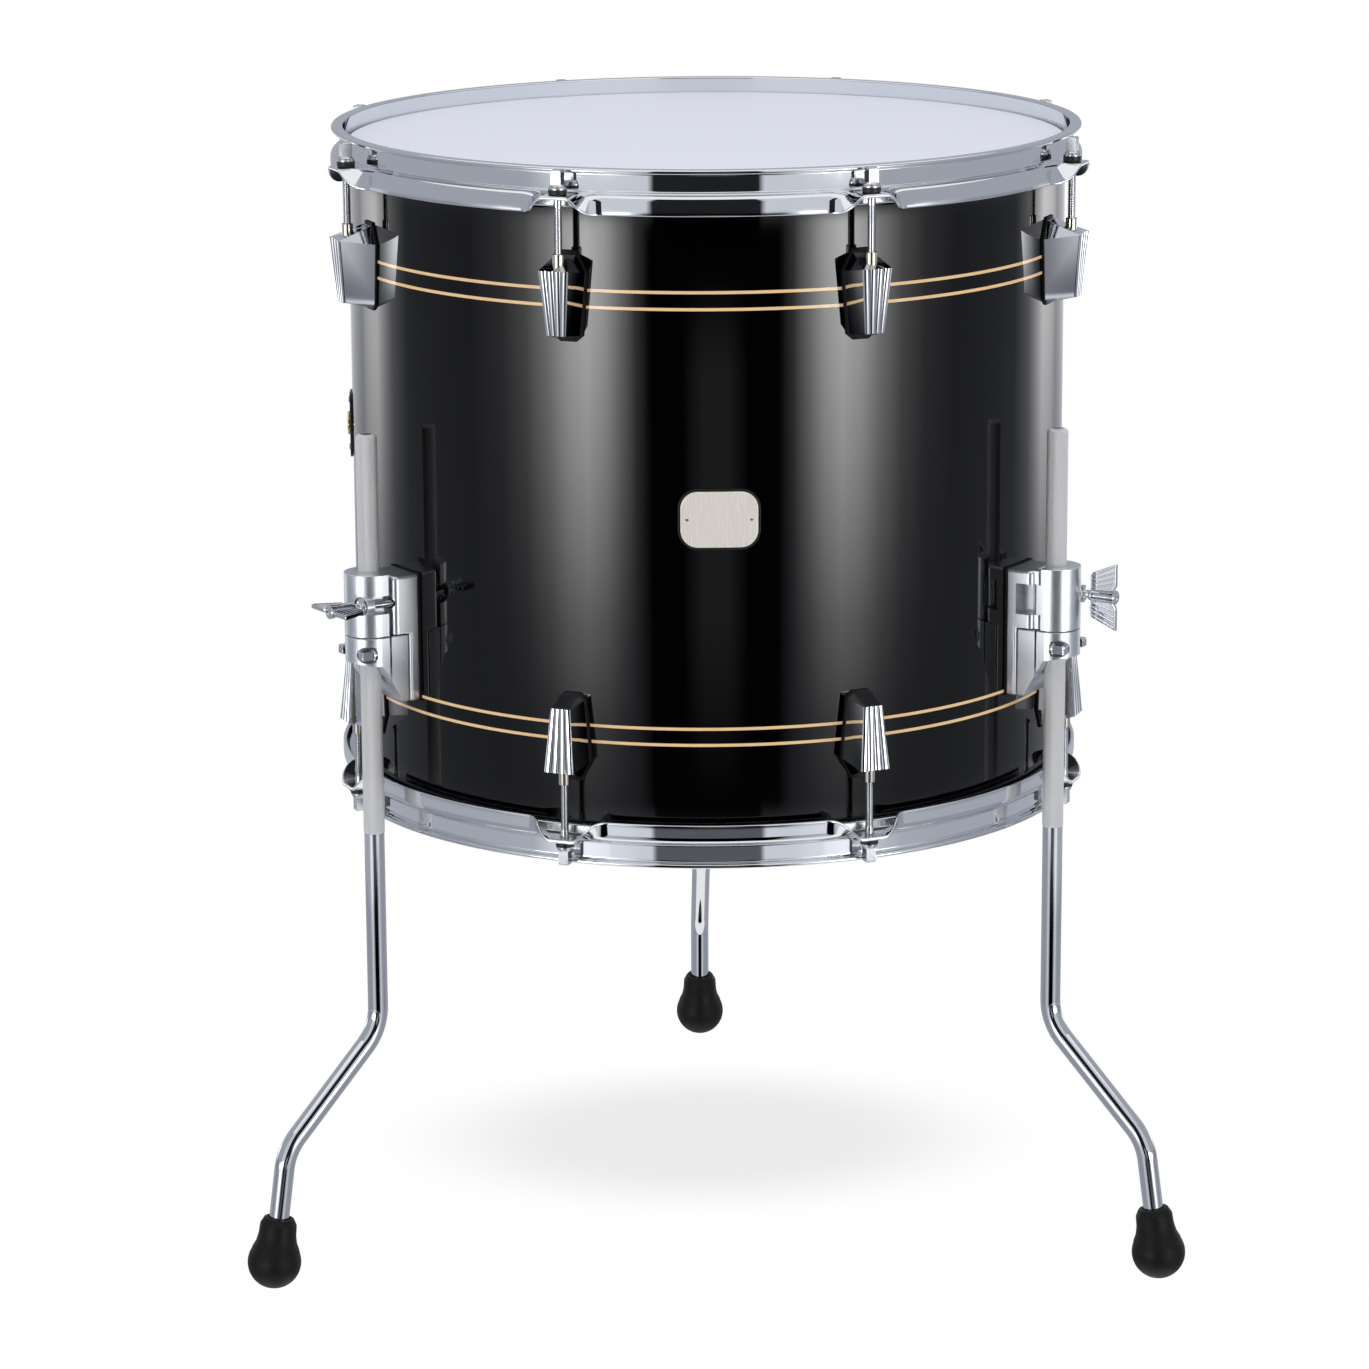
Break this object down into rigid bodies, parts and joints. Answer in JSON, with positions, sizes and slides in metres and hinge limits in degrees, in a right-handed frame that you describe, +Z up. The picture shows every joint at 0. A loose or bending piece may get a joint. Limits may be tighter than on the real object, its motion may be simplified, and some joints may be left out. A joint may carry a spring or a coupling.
{
  "type": "floor tom",
  "caption": "Wooden floor tom with a head and flanged hoop at each end, tension lugs and rods, and cranked legs that slide and turn in hinged clamps.",
  "frame": {"origin": "middle of the area that the drum and its feet cover, on the floor", "axes": "+Z up along the drum's axis towards the batter head; -Y towards the front, where the badge plate is"},
  "size_m": [0.5948, 0.5907, 0.7161],
  "materials": {
    "black_lacquer": "gloss black lacquer over wood, with amber pinstripe inlays",
    "chrome": "polished chrome plate",
    "rod_steel": "bright plated thread with a dark nylon washer",
    "leg_steel": "satin knurl above, bright chrome below",
    "coated_film": "smooth white drumhead film",
    "clear_film": "thin clear drumhead film",
    "flesh_hoop_aluminium": "satin aluminium",
    "badge_metal": "bare satin plate with a dark border",
    "black_plate": "gloss black",
    "vent_brass": "polished brass",
    "foot_rubber": "matt black moulded rubber"
  },
  "bodies": {
    "drum": {"shell": "black_lacquer", "badge_plate": "badge_metal", "vent_badge": "black_plate", "vent_grommet": "vent_brass", "batter_hoop": "chrome", "batter_head_film": "coated_film", "batter_flesh_hoop": "flesh_hoop_aluminium", "resonant_hoop": "chrome", "resonant_head_film": "clear_film", "resonant_flesh_hoop": "flesh_hoop_aluminium", "lug_batter_1": "chrome", "lug_batter_2": "chrome", "lug_batter_3": "chrome", "lug_batter_4": "chrome", "lug_batter_5": "chrome", "lug_batter_6": "chrome", "lug_batter_7": "chrome", "lug_batter_8": "chrome", "lug_resonant_1": "chrome", "lug_resonant_2": "chrome", "lug_resonant_3": "chrome", "lug_resonant_4": "chrome", "lug_resonant_5": "chrome", "lug_resonant_6": "chrome", "lug_resonant_7": "chrome", "lug_resonant_8": "chrome", "bracket_base_1": "chrome", "bracket_base_2": "chrome", "bracket_base_3": "chrome"},
    "rod_batter_1": {"rod_batter_1": "rod_steel"},
    "rod_batter_2": {"rod_batter_2": "rod_steel"},
    "rod_batter_3": {"rod_batter_3": "rod_steel"},
    "rod_batter_4": {"rod_batter_4": "rod_steel"},
    "rod_batter_5": {"rod_batter_5": "rod_steel"},
    "rod_batter_6": {"rod_batter_6": "rod_steel"},
    "rod_batter_7": {"rod_batter_7": "rod_steel"},
    "rod_batter_8": {"rod_batter_8": "rod_steel"},
    "rod_resonant_1": {"rod_resonant_1": "rod_steel"},
    "rod_resonant_2": {"rod_resonant_2": "rod_steel"},
    "rod_resonant_3": {"rod_resonant_3": "rod_steel"},
    "rod_resonant_4": {"rod_resonant_4": "rod_steel"},
    "rod_resonant_5": {"rod_resonant_5": "rod_steel"},
    "rod_resonant_6": {"rod_resonant_6": "rod_steel"},
    "rod_resonant_7": {"rod_resonant_7": "rod_steel"},
    "rod_resonant_8": {"rod_resonant_8": "rod_steel"},
    "clamp_jaw_1": {"clamp_jaw_1": "chrome"},
    "clamp_jaw_2": {"clamp_jaw_2": "chrome"},
    "clamp_jaw_3": {"clamp_jaw_3": "chrome"},
    "wing_bolt_1": {"wing_bolt_1": "chrome"},
    "wing_bolt_2": {"wing_bolt_2": "chrome"},
    "wing_bolt_3": {"wing_bolt_3": "chrome"},
    "memory_lock_1": {"memory_lock_1": "chrome"},
    "memory_lock_2": {"memory_lock_2": "chrome"},
    "memory_lock_3": {"memory_lock_3": "chrome"},
    "leg_1": {"leg_1": "leg_steel", "foot_1": "foot_rubber"},
    "leg_2": {"leg_2": "leg_steel", "foot_2": "foot_rubber"},
    "leg_3": {"leg_3": "leg_steel", "foot_3": "foot_rubber"}
  },
  "joints": [
    {"name": "rod_batter_1_turn", "type": "hinge", "parent": "drum", "child": "rod_batter_1", "pos_m": [0.09318, -0.28157, 0.715], "axis": [0, 0, 1], "continuous": true},
    {"name": "rod_batter_2_turn", "type": "hinge", "parent": "drum", "child": "rod_batter_2", "pos_m": [0.22496, -0.14978, 0.715], "axis": [0, 0, 1], "continuous": true},
    {"name": "rod_batter_3_turn", "type": "hinge", "parent": "drum", "child": "rod_batter_3", "pos_m": [0.22496, 0.03658, 0.715], "axis": [0, 0, 1], "continuous": true},
    {"name": "rod_batter_4_turn", "type": "hinge", "parent": "drum", "child": "rod_batter_4", "pos_m": [0.09318, 0.16836, 0.715], "axis": [0, 0, 1], "continuous": true},
    {"name": "rod_batter_5_turn", "type": "hinge", "parent": "drum", "child": "rod_batter_5", "pos_m": [-0.09318, 0.16836, 0.715], "axis": [0, 0, 1], "continuous": true},
    {"name": "rod_batter_6_turn", "type": "hinge", "parent": "drum", "child": "rod_batter_6", "pos_m": [-0.22496, 0.03658, 0.715], "axis": [0, 0, 1], "continuous": true},
    {"name": "rod_batter_7_turn", "type": "hinge", "parent": "drum", "child": "rod_batter_7", "pos_m": [-0.22496, -0.14978, 0.715], "axis": [0, 0, 1], "continuous": true},
    {"name": "rod_batter_8_turn", "type": "hinge", "parent": "drum", "child": "rod_batter_8", "pos_m": [-0.09318, -0.28157, 0.715], "axis": [0, 0, 1], "continuous": true},
    {"name": "rod_resonant_1_turn", "type": "hinge", "parent": "drum", "child": "rod_resonant_1", "pos_m": [0.09318, -0.28157, 0.289], "axis": [0, 0, 1], "continuous": true},
    {"name": "rod_resonant_2_turn", "type": "hinge", "parent": "drum", "child": "rod_resonant_2", "pos_m": [0.22496, -0.14978, 0.289], "axis": [0, 0, 1], "continuous": true},
    {"name": "rod_resonant_3_turn", "type": "hinge", "parent": "drum", "child": "rod_resonant_3", "pos_m": [0.22496, 0.03658, 0.289], "axis": [0, 0, 1], "continuous": true},
    {"name": "rod_resonant_4_turn", "type": "hinge", "parent": "drum", "child": "rod_resonant_4", "pos_m": [0.09318, 0.16836, 0.289], "axis": [0, 0, 1], "continuous": true},
    {"name": "rod_resonant_5_turn", "type": "hinge", "parent": "drum", "child": "rod_resonant_5", "pos_m": [-0.09318, 0.16836, 0.289], "axis": [0, 0, 1], "continuous": true},
    {"name": "rod_resonant_6_turn", "type": "hinge", "parent": "drum", "child": "rod_resonant_6", "pos_m": [-0.22496, 0.03658, 0.289], "axis": [0, 0, 1], "continuous": true},
    {"name": "rod_resonant_7_turn", "type": "hinge", "parent": "drum", "child": "rod_resonant_7", "pos_m": [-0.22496, -0.14978, 0.289], "axis": [0, 0, 1], "continuous": true},
    {"name": "rod_resonant_8_turn", "type": "hinge", "parent": "drum", "child": "rod_resonant_8", "pos_m": [-0.09318, -0.28157, 0.289], "axis": [0, 0, 1], "continuous": true},
    {"name": "leg_1_slide", "type": "slide", "parent": "drum", "child": "memory_lock_1", "axis": [0, 0, 1], "range_m": [-0.054, 0]},
    {"name": "leg_1_turn", "type": "hinge", "parent": "memory_lock_1", "child": "leg_1", "pos_m": [-0.21386, -0.19548, 0.4146], "axis": [0, 0, 1], "continuous": true},
    {"name": "jaw_1_hinge", "type": "hinge", "parent": "drum", "child": "clamp_jaw_1", "pos_m": [-0.21358, -0.18398, 0.4338], "axis": [0, 0, -1], "range_deg": [0, 5]},
    {"name": "wing_bolt_1_turn", "type": "hinge", "parent": "clamp_jaw_1", "child": "wing_bolt_1", "pos_m": [-0.2199, -0.21372, 0.4352], "axis": [-0.8387, -0.5446, 0], "continuous": true},
    {"name": "leg_2_slide", "type": "slide", "parent": "drum", "child": "memory_lock_2", "axis": [0, 0, 1], "range_m": [-0.054, 0]},
    {"name": "leg_2_turn", "type": "hinge", "parent": "memory_lock_2", "child": "leg_2", "pos_m": [0.21386, -0.19548, 0.4146], "axis": [0, 0, 1], "continuous": true},
    {"name": "jaw_2_hinge", "type": "hinge", "parent": "drum", "child": "clamp_jaw_2", "pos_m": [0.20324, -0.19991, 0.4338], "axis": [0, 0, -1], "range_deg": [0, 5]},
    {"name": "wing_bolt_2_turn", "type": "hinge", "parent": "clamp_jaw_2", "child": "wing_bolt_2", "pos_m": [0.23298, -0.19359, 0.4352], "axis": [0.8387, -0.5446, 0], "continuous": true},
    {"name": "leg_3_slide", "type": "slide", "parent": "drum", "child": "memory_lock_3", "axis": [0, 0, 1], "range_m": [-0.054, 0]},
    {"name": "leg_3_turn", "type": "hinge", "parent": "memory_lock_3", "child": "leg_3", "pos_m": [0, 0.1984, 0.4146], "axis": [0, 0, 1], "continuous": true},
    {"name": "jaw_3_hinge", "type": "hinge", "parent": "drum", "child": "clamp_jaw_3", "pos_m": [0.0095, 0.1919, 0.4338], "axis": [0, 0, -1], "range_deg": [0, 5]},
    {"name": "wing_bolt_3_turn", "type": "hinge", "parent": "clamp_jaw_3", "child": "wing_bolt_3", "pos_m": [-0.012, 0.2134, 0.4352], "axis": [0, 1, 0], "continuous": true}
  ]
}
